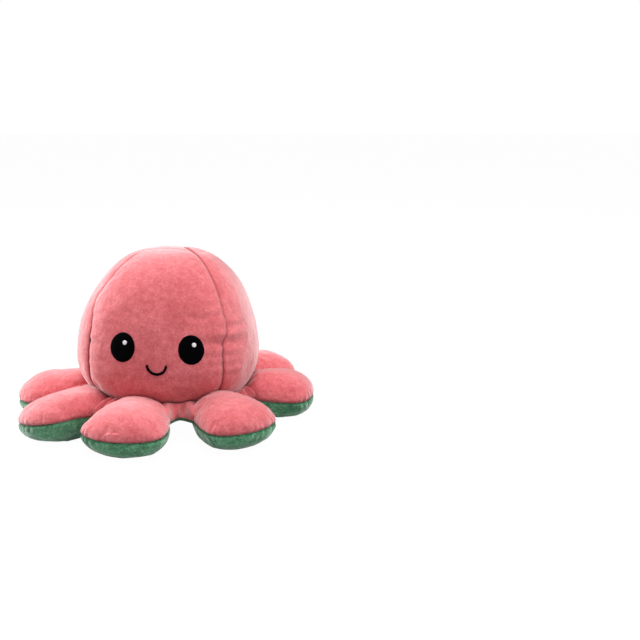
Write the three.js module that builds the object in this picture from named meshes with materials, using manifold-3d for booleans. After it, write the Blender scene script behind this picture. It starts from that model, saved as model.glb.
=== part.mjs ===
// Reversible plush octopus with its pink side out: a smiling sewn head over a green lining head that frowns,
// both joined at the neck to a ring of eight stuffed tentacles. Millimetres, +Z up, the face looks to -Y.
import * as THREE from "three";
import { ParametricGeometry } from "three/addons/geometries/ParametricGeometry.js";
import { mergeVertices } from "three/addons/utils/BufferGeometryUtils.js";
import Module from "manifold-3d";

const wasm = await Module();
wasm.setup();

const DEGREE = Math.PI / 180;
const QUARTER = Math.PI / 2;

// Cloth, stitches and the clear space between two pieces that touch
const CLOTH = 1.6;
const STITCH = 0.9;
const GAP = 0.3;
const FILL_GAP = 0.6;
const SEAM_DIP = 1.0;
const SEAM_SHARPNESS = 12;
const SEAM_START = 12;
const CROWN_HOLE = 1.2;

// Height of the seam between the pink and the green cloth of the tentacles
const SEAM_HEIGHT = 14.7;

// Pink head
const HEAD_RADIUS = 58.8;
const HEAD_HEIGHT = 114.3;
const HEAD_WIDEST = 45;
const HEAD_FULLNESS = 0.85;
const HEAD_TUCK = 2.3;
const HEAD_SQUARENESS = 2.44;
const NECK_RADIUS = 43;

// Green lining head and the pocket inside it
const POCKET_RADIUS = 42;
const POCKET_HEIGHT = 92;
const POCKET_WIDEST = 50;
const POCKET_FULLNESS = 0.95;
const POCKET_MOUTH = 34;

// Rolled rim of green cloth round the mouth of the pocket, above the floor
const RIM_FOOT_HEIGHT = 10.4;
const RIM_LIP = 5.4;
const RIM_OVERLAP = 0.4;
const RIM_FOOT_OUT = 40.4;
const RIM_FOOT_IN = 36.6;
const RIM_ROUND = 3;

// Tentacles: half width, swell above and below the seam, and where along the length they peak
const ROOT_HALF_WIDTH = 14;
const ROOT_HALF_THICKNESS = 2.1;
const ROOT_CLEARANCE = 0.4;
const TENTACLE_HALF_WIDTH = 24.5;
const FRONT_HALF_WIDTH = 26.5;
const TENTACLE_TOP = 15.4;
const TENTACLE_BOTTOM = 17.4;
const TENTACLE_DROOP = 1.5;
const WIDEST_SHARE = 0.72;
const TOP_PEAK_SHARE = 0.58;
const BOTTOM_PEAK_SHARE = 0.42;
const RISE_POWER = 0.7;
const ROUND_POWER = 0.48;
const WEB_LENGTH = 9;
const WEB_CLEARANCE = 0.5;
const WEB_HOLLOW = 3;

// How far the tips lie from the head's axis
const REACH = 100;
const LEFT_REACH = 104;
const FRONT_LEFT_REACH = 106;
const RIGHT_REACH = 97;
const BACK_RIGHT_REACH = 103;

// Each tentacle's azimuth from the face, in degrees, its reach and its half width where it is widest
const TENTACLES = [
  { name: "left", azimuth: -90.5, reach: LEFT_REACH, wide: TENTACLE_HALF_WIDTH },
  { name: "front_left", azimuth: -51.5, reach: FRONT_LEFT_REACH, wide: TENTACLE_HALF_WIDTH },
  { name: "front", azimuth: -10.7, reach: REACH, wide: FRONT_HALF_WIDTH },
  { name: "front_right", azimuth: 39, reach: REACH, wide: TENTACLE_HALF_WIDTH },
  { name: "right", azimuth: 93, reach: RIGHT_REACH, wide: TENTACLE_HALF_WIDTH },
  { name: "back_right", azimuth: 135.5, reach: BACK_RIGHT_REACH, wide: TENTACLE_HALF_WIDTH },
  { name: "back", azimuth: 178, reach: REACH, wide: TENTACLE_HALF_WIDTH },
  { name: "back_left", azimuth: 223, reach: REACH, wide: TENTACLE_HALF_WIDTH },
];

// Smiling face on the pink side
const SMILE_FACE_TURN = 1.3;
const SMILE_FACE_TILT = 2.3;
const SMILE_EYE_SPREAD = 20.8;
const SMILE_EYE_HEIGHT = 60;
const SMILE_EYE_HALF_WIDTH = 7.8;
const SMILE_EYE_HALF_HEIGHT = 9.1;
const SMILE_MOUTH_HEIGHT = 43.9;
const SMILE_MOUTH_HALF_WIDTH = 5.7;
const SMILE_MOUTH_RISE = 5.4;

// Frowning face on the green side
const FROWN_EYE_SPREAD = 26;
const FROWN_EYE_HEIGHT = 54;
const FROWN_EYE_HALF_WIDTH = 7.8;
const FROWN_EYE_HALF_HEIGHT = 9;
const FROWN_BROW_HEIGHT = 5.2;
const FROWN_BROW_SLOPE = 0.3;
const FROWN_MOUTH_HEIGHT = 43;
const FROWN_MOUTH_HALF_WIDTH = 5.4;
const FROWN_MOUTH_RISE = -6.5;

const MOUTH_STROKE = 1.5;
const GLINT_RADIUS = 1.6;
const GLINT_ASIDE = 1.2;
const GLINT_ABOVE = 2.8;

// Fineness of the curved pieces
const GORE_ACROSS = 8;
const GORE_CROWDING = 0.5;
const GORE_ALONG = 10;
const LINING_ALONG = 8;
const CROWN_SHARE = 0.64;
const TENTACLE_ACROSS = 6;
const TENTACLE_ALONG = 6;
const NOSE_ROWS = 2;
const ROW_CROWDING = 1.5;
const RIM_TURNS = 32;
const RIM_CURVE_STEPS = 3;
const WEB_STEPS = 5;
const EYE_TURNS = 16;
const GLINT_TURNS = 8;
const MOUTH_STEPS = 10;

// Sizes that follow from the ones above
const RIM_RADIUS = NECK_RADIUS + RIM_OVERLAP;
const ROOT_RADIUS = RIM_RADIUS + ROOT_CLEARANCE + ROOT_HALF_THICKNESS;
const UNDER_CLOTH = CLOTH + GAP;
const PINK_SKIRT_HEIGHT = SEAM_HEIGHT + GAP / 2;
const GREEN_SKIRT_HEIGHT = SEAM_HEIGHT - GAP / 2;
const NECK_HEIGHT = PINK_SKIRT_HEIGHT + CLOTH + GAP;

// Colours
const PINK = 0xe47a80;
const GREEN = 0x4f7d62;
const FIBRE = 0xf1eee6;
const BLACK = 0x16141a;
const WHITE = 0xf7f7f7;

// A welded surface without flat triangles, facing out
function closed(surface) {
  surface.deleteAttribute("normal");
  surface.deleteAttribute("uv");
  const welded = mergeVertices(surface, 1e-3);
  const spots = welded.getAttribute("position");
  const old = welded.getIndex().array;
  const corners = [];
  let volume = 0;
  const p = new THREE.Vector3();
  const q = new THREE.Vector3();
  const r = new THREE.Vector3();
  for (let i = 0; i < old.length; i += 3) {
    const [a, b, c] = [old[i], old[i + 1], old[i + 2]];
    if (a !== b && b !== c && c !== a) {
      corners.push(a, b, c);
      p.fromBufferAttribute(spots, a);
      q.fromBufferAttribute(spots, b);
      r.fromBufferAttribute(spots, c);
      volume += p.dot(q.cross(r));
    }
  }
  welded.setIndex(volume < 0 ? corners.reverse() : corners);
  return welded;
}

// A piece of cloth or fill over the unit square, between its face and its back, closed round all four sides
function sheet(face, back, across, along) {
  const loop = 2 * across + 2;
  const rows = along + 2;
  const weave = (u, v, target) => {
    const column = Math.round(u * loop) % loop;
    const row = Math.round(v * rows);
    const side = (column <= across ? column : loop - 1 - column) / across;
    const length = THREE.MathUtils.clamp(row - 1, 0, along) / along;
    const onFace = column <= across && row > 0 && row < rows;
    target.copy(onFace ? face(side, length) : back(side, length));
  };
  return closed(new ParametricGeometry(weave, loop, rows));
}

// Columns crowd towards the two edges of a piece, fully or in part
function crowded(side, crowding = 1) {
  return crowding * Math.sin(Math.PI * (side - 0.5)) + (1 - crowding) * (2 * side - 1);
}

// The side of a sewn head, from the crown out to its widest ring and in to the neck
class Dome extends THREE.Curve {
  constructor(shape) {
    super();
    Object.assign(this, shape);
  }

  getPoint(t, target = new THREE.Vector2()) {
    if (t < CROWN_SHARE) {
      const turn = QUARTER * (t / CROWN_SHARE);
      const out = this.radius * Math.sin(turn) ** this.fullness;
      return target.set(out, this.widest + (this.height - this.widest) * Math.cos(turn));
    }
    const fall = (t - CROWN_SHARE) / (1 - CROWN_SHARE);
    const out = this.neckRadius + (this.radius - this.neckRadius) * this.spread(fall);
    return target.set(out, this.widest - (this.widest - this.neckHeight) * fall);
  }

  // Where along the side a height lies
  shareAt(z) {
    if (z > this.widest) {
      return CROWN_SHARE * Math.acos((z - this.widest) / (this.height - this.widest)) / QUARTER;
    }
    return CROWN_SHARE + (1 - CROWN_SHARE) * (this.widest - z) / (this.widest - this.neckHeight);
  }

  // The rows of a gore start at the small hole where the four seams meet
  rowShare(row) {
    const start = CROWN_SHARE * Math.asin((CROWN_HOLE / this.radius) ** (1 / this.fullness)) / QUARTER;
    return start + (1 - start) * row;
  }

  // Seen from above the head is a rounded square with a seam at each corner, and round at the neck
  planFactor(azimuth, z) {
    const n = this.squareness;
    const square = (Math.abs(Math.cos(azimuth)) ** n + Math.abs(Math.sin(azimuth)) ** n) ** (-1 / n);
    const rise = THREE.MathUtils.clamp((z - this.neckHeight) / (this.widest - this.neckHeight), 0, 1);
    return 1 + (square - 1) * rise * rise;
  }

  // A point at a depth below the plush face, with the cloth drawn in along each seam
  surface(azimuth, t, depth) {
    const edge = this.getPoint(t);
    const run = this.getTangent(t);
    const share = THREE.MathUtils.euclideanModulo(azimuth / QUARTER + 0.5, 1);
    const seam = Math.abs(2 * share - 1) ** SEAM_SHARPNESS * Math.min(1, edge.x / SEAM_START);
    const sunk = depth + this.dip * seam;
    const z = Math.max(edge.y - run.x * sunk, this.neckHeight);
    const out = Math.max(edge.x + run.y * sunk, 0) * this.planFactor(azimuth, z);
    return new THREE.Vector3(out * Math.sin(azimuth), -out * Math.cos(azimuth), z);
  }

  // Azimuth across a gore, short of its two seams by half a gap
  goreAzimuth(middle, side, t) {
    const spare = Math.asin(GAP / 2 / this.getPoint(t).x);
    return middle + crowded(side, GORE_CROWDING) * (QUARTER / 2 - spare);
  }
}

const head = new Dome({
  radius: HEAD_RADIUS,
  height: HEAD_HEIGHT,
  widest: HEAD_WIDEST,
  neckRadius: NECK_RADIUS,
  neckHeight: NECK_HEIGHT,
  fullness: HEAD_FULLNESS,
  spread: (fall) => 1 - fall ** HEAD_TUCK,
  squareness: HEAD_SQUARENESS,
  dip: SEAM_DIP,
  raise: -1,
  proud: 0,
});

// Flat facets of a hollow face stand proud of its true curve by this much
const widestStep = crowded(0.5 + 1 / GORE_ACROSS, GORE_CROWDING) * QUARTER / 2;
const tallestStep = QUARTER / (CROWN_SHARE * LINING_ALONG);
const facetRise = POCKET_RADIUS * (2 - Math.cos(widestStep / 2) - Math.cos(tallestStep / 2));

const pocket = new Dome({
  radius: POCKET_RADIUS,
  height: POCKET_HEIGHT,
  widest: POCKET_WIDEST,
  neckRadius: POCKET_MOUTH,
  neckHeight: RIM_FOOT_HEIGHT + RIM_LIP + GAP,
  fullness: POCKET_FULLNESS,
  spread: (fall) => (1 + Math.cos(2 * QUARTER * fall)) / 2,
  squareness: 2,
  dip: -SEAM_DIP,
  raise: 1,
  proud: facetRise,
});

// One sewn gore of a head
function gore(dome, middle, along) {
  const at = (depth) => (side, length) => {
    const t = dome.rowShare(length);
    return dome.surface(dome.goreAzimuth(middle, side, t), t, depth);
  };
  return sheet(at(0), at(dome.raise * -CLOTH), GORE_ACROSS, along);
}

// The rolled rim's section, sunk below the plush face by a depth
function rimPath(depth) {
  const foot = RIM_FOOT_HEIGHT + depth;
  const side = RIM_FOOT_HEIGHT + RIM_ROUND;
  const path = new THREE.Path();
  path.moveTo(RIM_RADIUS - depth, GREEN_SKIRT_HEIGHT);
  path.lineTo(RIM_RADIUS - depth, side);
  path.quadraticCurveTo(RIM_RADIUS - depth, foot, RIM_FOOT_OUT, foot);
  path.lineTo(RIM_FOOT_IN, foot);
  path.quadraticCurveTo(POCKET_MOUTH + depth, foot, POCKET_MOUTH + depth, side);
  path.lineTo(POCKET_MOUTH + depth, RIM_FOOT_HEIGHT + RIM_LIP);
  return path.getPoints(RIM_CURVE_STEPS);
}

// Fibre between the two heads, down into the rolled rim
function headFill() {
  const rings = [(azimuth) => head.surface(azimuth, 0, UNDER_CLOTH)];
  for (let row = 0; row <= GORE_ALONG; row += 1) {
    rings.push((azimuth) => head.surface(azimuth, head.rowShare(row / GORE_ALONG), UNDER_CLOTH));
  }
  for (const { x, y } of rimPath(UNDER_CLOTH)) {
    rings.push((azimuth) => new THREE.Vector3(x * Math.sin(azimuth), -x * Math.cos(azimuth), y));
  }
  for (let row = LINING_ALONG; row >= 0; row -= 1) {
    rings.push((azimuth) => pocket.surface(azimuth, pocket.rowShare(row / LINING_ALONG), -UNDER_CLOTH));
  }
  rings.push((azimuth) => pocket.surface(azimuth, 0, -UNDER_CLOTH));
  const columns = 4 * GORE_ACROSS;
  const weave = (u, v, target) => {
    const column = Math.round(u * columns) % columns;
    const side = (column % GORE_ACROSS) / GORE_ACROSS;
    const azimuth = QUARTER * (Math.floor(column / GORE_ACROSS) + crowded(side, GORE_CROWDING) / 2);
    target.copy(rings[Math.round(v * (rings.length - 1))](azimuth));
  };
  return closed(new ParametricGeometry(weave, columns, rings.length - 1));
}

// Half the width of a tentacle at a share of its length, inside its outline by an inset
function halfWidth(tentacle, share, inset) {
  const wide = tentacle.wide - inset;
  const root = ROOT_HALF_WIDTH - inset;
  if (share < WIDEST_SHARE) {
    return root + (wide - root) * Math.sin(QUARTER * (share / WIDEST_SHARE));
  }
  return wide * Math.sqrt(Math.max(0, 1 - ((share - WIDEST_SHARE) / (1 - WIDEST_SHARE)) ** 2));
}

// Swell of a tentacle's cloth off its seam along its middle line, above it (up 1) or below it (up -1)
function swell(share, up, inset) {
  const root = ROOT_HALF_THICKNESS - GAP / 2;
  const peak = up > 0 ? TENTACLE_TOP : TENTACLE_BOTTOM;
  const peakShare = up > 0 ? TOP_PEAK_SHARE : BOTTOM_PEAK_SHARE;
  if (share < peakShare) {
    const rise = Math.sin(QUARTER * (share / peakShare) ** RISE_POWER);
    return Math.max(GAP / 2, root + (peak - root) * rise - inset);
  }
  const fall = (share - peakShare) / (1 - peakShare);
  return (peak - inset) * Math.sqrt(Math.max(0, 1 - fall ** 2));
}

// A point of a tentacle about its root hinge: u out along it, v across, z up from the hinge line. Rows below
// NOSE_ROWS wrap round the hinge line, so the root turns against the skirt without rubbing.
function tentaclePoint(tentacle, side, row, up, inset) {
  const v = crowded(side);
  const round = (1 - v * v) ** ROUND_POWER;
  const start = inset > 0 ? CLOTH / 2 : 0;
  if (row < NOSE_ROWS) {
    const turn = QUARTER * (row / NOSE_ROWS);
    const nose = inset > 0 ? start : -ROOT_HALF_THICKNESS * Math.cos(turn);
    const height = Math.sin(turn) * round * swell(0, up, inset);
    return new THREE.Vector3(nose, v * halfWidth(tentacle, 0, inset), up * (GAP / 2 + height));
  }
  const share = 1 - (1 - (row - NOSE_ROWS) / TENTACLE_ALONG) ** ROW_CROWDING;
  const u = start + share * (tentacle.reach - ROOT_RADIUS - inset - start);
  const seam = -u * Math.tan(TENTACLE_DROOP * DEGREE);
  const z = seam + up * (GAP / 2 + round * swell(share, up, inset));
  return new THREE.Vector3(u, v * halfWidth(tentacle, share, inset), Math.max(z, inset - SEAM_HEIGHT));
}

// From about the root hinge to the whole toy
function placed(tentacle, point) {
  const turn = tentacle.azimuth * DEGREE;
  const out = ROOT_RADIUS + point.x;
  const x = out * Math.sin(turn) + point.y * Math.cos(turn);
  const y = -out * Math.cos(turn) + point.y * Math.sin(turn);
  return new THREE.Vector3(x, y, SEAM_HEIGHT + point.z);
}

// Pink top cover (up 1) or green bottom cover (up -1)
function tentacleCover(tentacle, up) {
  const rows = TENTACLE_ALONG + NOSE_ROWS;
  const at = (inset) => (side, length) =>
    placed(tentacle, tentaclePoint(tentacle, side, Math.round(length * rows), up, inset));
  return sheet(at(0), at(CLOTH), TENTACLE_ACROSS, rows);
}

// Fibre inside the covers, beyond the flat sewn root
function tentacleFill(tentacle) {
  const rows = TENTACLE_ALONG - 1;
  const at = (up) => (side, length) => {
    const row = NOSE_ROWS + 1 + Math.round(length * rows);
    return placed(tentacle, tentaclePoint(tentacle, side, row, up, CLOTH + FILL_GAP));
  };
  return sheet(at(1), at(-1), TENTACLE_ACROSS, rows);
}

// The ring of cloth at the neck with a web between every two tentacle roots
function skirtSheet(hole, height) {
  const length = TENTACLES.map((tentacle) => tentacle.reach - ROOT_RADIUS);
  const outline = new THREE.Shape();
  TENTACLES.forEach((tentacle, i) => {
    const side = (u) => halfWidth(tentacle, Math.max(u, 0) / length[i], 0) + WEB_CLEARANCE;
    const steps = [WEB_LENGTH, WEB_LENGTH / 2, 0, RIM_RADIUS - ROOT_RADIUS];
    const spots = steps.map((u) => placed(tentacle, new THREE.Vector3(u, -side(u), 0)));
    steps.reverse().forEach((u) => spots.push(placed(tentacle, new THREE.Vector3(u, side(u), 0))));
    spots.forEach((spot, k) => {
      if (i === 0 && k === 0) {
        outline.moveTo(spot.x, spot.y);
      } else {
        outline.lineTo(spot.x, spot.y);
      }
    });
    const next = TENTACLES[(i + 1) % TENTACLES.length];
    const nextSide = halfWidth(next, WEB_LENGTH / (next.reach - ROOT_RADIUS), 0) + WEB_CLEARANCE;
    const from = spots[spots.length - 1];
    const to = placed(next, new THREE.Vector3(WEB_LENGTH, -nextSide, 0));
    const bend = from.clone().add(to).multiplyScalar(0.5).setZ(0);
    bend.setLength(bend.length() - WEB_HOLLOW);
    outline.quadraticCurveTo(bend.x, bend.y, to.x, to.y);
  });
  const outside = hole / Math.cos((2 * QUARTER) / RIM_TURNS);
  const circle = new THREE.EllipseCurve(0, 0, outside, outside).getPoints(RIM_TURNS).slice(1);
  outline.holes.push(new THREE.Path(circle));
  const options = { depth: CLOTH, bevelEnabled: false, curveSegments: WEB_STEPS };
  const cloth = new THREE.ExtrudeGeometry(outline, options);
  cloth.translate(0, 0, height);
  return cloth;
}

// The same piece of cloth as a solid to be joined to another
function solid(geometry) {
  const tidy = closed(geometry.index ? geometry : mergeVertices(geometry, 1e-6));
  const vertProperties = new Float32Array(tidy.getAttribute("position").array);
  const triVerts = new Uint32Array(tidy.getIndex().array);
  return new wasm.Manifold(new wasm.Mesh({ numProp: 3, vertProperties, triVerts }));
}

function geometryOf(manifold) {
  const mesh = manifold.getMesh();
  const geometry = new THREE.BufferGeometry();
  geometry.setAttribute("position", new THREE.Float32BufferAttribute(mesh.vertProperties, 3));
  geometry.setIndex(Array.from(mesh.triVerts));
  return geometry;
}

// Green skirt: the rolled rim and the underside of the webs in one piece
function greenSkirt() {
  const section = [...rimPath(0), ...rimPath(CLOTH).reverse()];
  section.push(section[0].clone());
  const rim = solid(new THREE.LatheGeometry(section, RIM_TURNS).rotateX(QUARTER));
  const webs = solid(skirtSheet(RIM_RADIUS - CLOTH / 2, GREEN_SKIRT_HEIGHT - CLOTH));
  return geometryOf(rim.add(webs));
}

// A patch of stitches laid on a head, its outline given in millimetres about a spot
function patch(dome, azimuth, height, outline, level, turns) {
  const spot = dome.surface(azimuth, dome.shareAt(height), 0);
  const radius = Math.hypot(spot.x, spot.y);
  const rings = 2;
  const rows = 2 * rings + 1;
  const weave = (u, v, target) => {
    const row = Math.round(v * rows);
    const outer = row <= rings;
    const reach = outline(4 * QUARTER * u).multiplyScalar((outer ? row : rows - row) / rings);
    const t = dome.shareAt(height + reach.y);
    const lift = dome.proud + level + (outer ? STITCH : 0);
    target.copy(dome.surface(azimuth + reach.x / radius, t, dome.raise * lift));
  };
  return closed(new ParametricGeometry(weave, turns, rows));
}

// Oval eye
function smileEye(turn) {
  return new THREE.Vector2(SMILE_EYE_HALF_WIDTH * Math.cos(turn), SMILE_EYE_HALF_HEIGHT * Math.sin(turn));
}

// Oval eye cut off by a straight brow that falls towards the nose
function frownEye(inward) {
  return (turn) => {
    const oval = new THREE.Vector2(Math.cos(turn), Math.sin(turn));
    oval.multiply(new THREE.Vector2(FROWN_EYE_HALF_WIDTH, FROWN_EYE_HALF_HEIGHT));
    const brow = oval.y + inward * FROWN_BROW_SLOPE * oval.x;
    return oval.multiplyScalar(Math.min(1, FROWN_BROW_HEIGHT / Math.max(brow, 1e-3)));
  };
}

function glint(turn) {
  return new THREE.Vector2(GLINT_RADIUS * Math.cos(turn), GLINT_RADIUS * Math.sin(turn));
}

// A mouth line: half an oval that opens upwards for a positive rise, its right end lowered by a tilt
function mouth(dome, azimuth, height, half, rise, tilt) {
  const spot = dome.surface(azimuth, dome.shareAt(height), 0);
  const radius = Math.hypot(spot.x, spot.y);
  const at = (lift) => (side, length) => {
    const turn = QUARTER * (2 * length - 1);
    const off = (side - 0.5) * MOUTH_STROKE;
    const x = (half + off) * Math.sin(turn);
    const y = rise - (rise + Math.sign(rise) * off) * Math.cos(turn) - x * Math.tan(tilt);
    return dome.surface(azimuth + x / radius, dome.shareAt(height + y), dome.raise * (dome.proud + lift));
  };
  return sheet(at(GAP + STITCH), at(GAP), 2, MOUTH_STEPS);
}

const toy = new THREE.Group();
toy.name = "reversible_plush_octopus";

function add(name, geometry, color, roughness) {
  const material = new THREE.MeshStandardMaterial({ color, roughness, metalness: 0 });
  const mesh = new THREE.Mesh(geometry, material);
  mesh.name = name;
  toy.add(mesh);
}

// Heads
["front", "right", "back", "left"].forEach((name, i) => {
  add(`head_gore_${name}`, gore(head, QUARTER * i, GORE_ALONG), PINK, 0.95);
  add(`lining_gore_${name}`, gore(pocket, QUARTER * i, LINING_ALONG), GREEN, 0.95);
});
add("head_fill", headFill(), FIBRE, 1);

// Faces
[["left", -1], ["right", 1]].forEach(([name, way]) => {
  const smileTurn = (SMILE_FACE_TURN + way * SMILE_EYE_SPREAD) * DEGREE;
  const smileAside = smileTurn + GLINT_ASIDE / HEAD_RADIUS;
  const smileFromMiddle = way * HEAD_RADIUS * Math.sin(SMILE_EYE_SPREAD * DEGREE);
  const smileHeight = SMILE_EYE_HEIGHT - smileFromMiddle * Math.tan(SMILE_FACE_TILT * DEGREE);
  const smileAbove = smileHeight + GLINT_ABOVE;
  const frownTurn = way * FROWN_EYE_SPREAD * DEGREE;
  const frownAside = frownTurn + GLINT_ASIDE / POCKET_RADIUS;
  const above = 2 * GAP + STITCH;
  const smile = patch(head, smileTurn, smileHeight, smileEye, GAP, EYE_TURNS);
  const frown = patch(pocket, frownTurn, FROWN_EYE_HEIGHT, frownEye(way), GAP, EYE_TURNS);
  const frownGlint = patch(pocket, frownAside, FROWN_EYE_HEIGHT, glint, above, GLINT_TURNS);
  add(`smile_eye_${name}`, smile, BLACK, 0.6);
  add(`smile_eye_glint_${name}`, patch(head, smileAside, smileAbove, glint, above, GLINT_TURNS), WHITE, 0.7);
  add(`frown_eye_${name}`, frown, BLACK, 0.6);
  add(`frown_eye_glint_${name}`, frownGlint, WHITE, 0.7);
});
const smileLine = [SMILE_MOUTH_HEIGHT, SMILE_MOUTH_HALF_WIDTH, SMILE_MOUTH_RISE, SMILE_FACE_TILT * DEGREE];
const frownLine = [FROWN_MOUTH_HEIGHT, FROWN_MOUTH_HALF_WIDTH, FROWN_MOUTH_RISE, 0];
add("smile_mouth", mouth(head, SMILE_FACE_TURN * DEGREE, ...smileLine), BLACK, 0.6);
add("frown_mouth", mouth(pocket, 0, ...frownLine), BLACK, 0.6);

// Skirts
add("skirt_top", skirtSheet(RIM_RADIUS - CLOTH + GAP / 2, PINK_SKIRT_HEIGHT), PINK, 0.95);
add("skirt_bottom", greenSkirt(), GREEN, 0.95);

// Tentacles
TENTACLES.forEach((tentacle) => {
  add(`tentacle_top_${tentacle.name}`, tentacleCover(tentacle, 1), PINK, 0.95);
  add(`tentacle_bottom_${tentacle.name}`, tentacleCover(tentacle, -1), GREEN, 0.95);
  add(`tentacle_fill_${tentacle.name}`, tentacleFill(tentacle), FIBRE, 1);
});

// The origin lies on the floor under the middle of the whole toy
const middle = new THREE.Box3().setFromObject(toy).getCenter(new THREE.Vector3());
toy.children.forEach((mesh) => mesh.position.set(-middle.x, -middle.y, 0));

export default toy;
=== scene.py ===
"""Looks of a reversible plush octopus that stands with its pink side out: a smiling pink head of four sewn
gores, a green lining head that frowns inside the pocket, a pink and a green skirt, and eight tentacles."""
import math
import bmesh
import bpy
from mathutils import Matrix, Vector, noise


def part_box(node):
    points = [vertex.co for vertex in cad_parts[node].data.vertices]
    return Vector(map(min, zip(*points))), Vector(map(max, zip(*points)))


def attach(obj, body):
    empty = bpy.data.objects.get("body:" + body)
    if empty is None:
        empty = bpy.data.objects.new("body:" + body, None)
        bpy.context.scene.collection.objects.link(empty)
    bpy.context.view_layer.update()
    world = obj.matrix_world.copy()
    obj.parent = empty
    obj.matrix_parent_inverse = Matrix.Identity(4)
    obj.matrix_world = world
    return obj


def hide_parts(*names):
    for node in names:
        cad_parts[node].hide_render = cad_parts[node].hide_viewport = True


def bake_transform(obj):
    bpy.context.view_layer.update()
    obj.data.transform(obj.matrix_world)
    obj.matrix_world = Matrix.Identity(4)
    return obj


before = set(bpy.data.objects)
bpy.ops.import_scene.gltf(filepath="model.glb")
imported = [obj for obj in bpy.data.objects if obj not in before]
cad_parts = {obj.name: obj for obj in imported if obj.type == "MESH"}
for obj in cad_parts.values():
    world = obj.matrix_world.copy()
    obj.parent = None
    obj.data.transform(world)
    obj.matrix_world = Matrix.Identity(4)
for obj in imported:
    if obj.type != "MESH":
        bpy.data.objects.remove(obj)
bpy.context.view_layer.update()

MM = 0.001
# Sizes in millimetres and degrees, as in the part's source
HEAD_RADIUS, HEAD_HEIGHT, HEAD_WIDEST = 59.2, 114.8, 45.0
HEAD_FULLNESS, HEAD_TUCK, HEAD_SQUARENESS = 0.83, 2.4, 2.44
CROWN_BACK, CROWN_REACH = 22.0, 52.0
NECK_RADIUS, NECK_HEIGHT, WEB_WIDTH = 43.4, 17.0, 13.6
POCKET_RADIUS, POCKET_HEIGHT, POCKET_WIDEST, POCKET_FULLNESS = 42.0, 92.0, 50.0, 0.95
POCKET_MOUTH, POCKET_LIP = 34.0, 16.1
SEAM_HEIGHT, ROOT_RADIUS, ROOT_HALF_WIDTH = 14.7, 45.9, 14.0
TENTACLE_TOP, TENTACLE_BOTTOM, DROOP = 15.4, 17.0, 1.5
WIDEST_SHARE, ROOT_RISE, SOLE_RISE, TOP_FALL, SOLE_FALL = 0.72, 14.5, 24.0, 0.55, 0.40
# Share of a head's side that is its crown, from the top to the widest place
CROWN_SHARE = 0.62
# The cloth's thickness, and its filling: spare cloth as a share, and how far it may give
CLOTH = 1.2
FILLING_STEPS, FILLING_PRESSURE = 20, 4.0
HEAD_SPARE, TENTACLE_SPARE = 0.006, 0.015
HEAD_GIVE, TENTACLE_GIVE = 1.5, 1.8
# Faces across and along each kind of cloth
HEAD_GRID, LINING_GRID, LINE_GRID, COVER_GRID = (96, 120), (48, 64), (8, 48), (64, 72)
PINK_WEB_ROWS, GREEN_WEB_ROWS, MOUTH_ROWS = 32, 20, 33
# Each tentacle: azimuth from the face, reach, half width, and how far its seam rises to one side
TENTACLES = {
    "left": (-90.5, 104, 24.5, 0.0),
    "front_left": (-51.5, 106, 24.5, 4.5),
    "front": (-10.7, 100, 26.5, 0.0),
    "front_right": (39, 100, 24.5, 0.0),
    "right": (93, 97, 24.5, 0.0),
    "back_right": (135.5, 103, 24.5, 0.0),
    "back": (178, 100, 24.5, 0.0),
    "back_left": (223, 100, 24.5, 0.0),
}

# Faces: how far the smiling one is turned and tilted, the sizes of the stitches, how high they stand, and
# how far their rims sink into the pile
FACE_TURN, FACE_TILT = 1.3, 2.3
EYE_SPREAD, EYE_HEIGHT, EYE_HALF_WIDTH, EYE_HALF_HEIGHT = 20.8, 60.0, 7.8, 9.1
EYE_DROP = HEAD_RADIUS * math.sin(math.radians(EYE_SPREAD)) * math.tan(math.radians(FACE_TILT))
MOUTH_HEIGHT, MOUTH_HALF, MOUTH_RISE = 44.6, 5.8, 5.7
GLINT_HALF_WIDTH, GLINT_HALF_HEIGHT, GLINT_TURN, GLINT_UP = 1.3, 1.4, 1.7, 3.0
FROWN_SPREAD, FROWN_HEIGHT, FROWN_GLINT_TURN = 26.0, 54.0, 1.6
FROWN_HALF_WIDTH, FROWN_HALF_HEIGHT, BROW_HEIGHT, BROW_SLOPE = 7.8, 9.0, 5.2, 0.3
FROWN_MOUTH_HEIGHT, FROWN_MOUTH_HALF, FROWN_MOUTH_RISE = 43.0, 5.4, -6.5
EYE_PROUD, EYE_LIFT, GLINT_PROUD, GLINT_LIFT = 0.7, 0.15, 0.5, 0.85
LINE_HALF_WIDTH, LINE_LIFT, LINE_PROUD = 0.75, 0.6, 0.5
PATCH_SINK, LINE_SINK, PILE_LENGTH, PATCH_STEPS = 0.5, 0.9, 0.35, 56

low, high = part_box("head_fill")
AXIS = Vector(((low[0] + high[0]) / 2, (low[1] + high[1]) / 2, 0.0))


def smoothstep(start, end, value):
    """0 below start, 1 above end, with a soft change between."""
    share = min(1.0, max(0.0, (value - start) / (end - start)))
    return share * share * (3 - 2 * share)


def bell(value):
    """1 at nought, falling off softly to either side."""
    return math.exp(-value * value)


def spot(azimuth, out, up, aside=0.0):
    """A point of the toy in metres: azimuth in degrees from the face, millimetres out, up and aside."""
    turn = math.radians(azimuth)
    x = out * math.sin(turn) + aside * math.cos(turn)
    y = -out * math.cos(turn) + aside * math.sin(turn)
    return Vector((x, y, up)) * MM + AXIS


# Pieces

def piece(bm, name, finish):
    """A smooth-shaded object from a bmesh."""
    mesh = bpy.data.meshes.new(name)
    bm.to_mesh(mesh)
    bm.free()
    mesh.polygons.foreach_set("use_smooth", [True] * len(mesh.polygons))
    mesh.materials.append(finish)
    made = bpy.data.objects.new(name, mesh)
    bpy.context.collection.objects.link(made)
    return made


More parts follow.
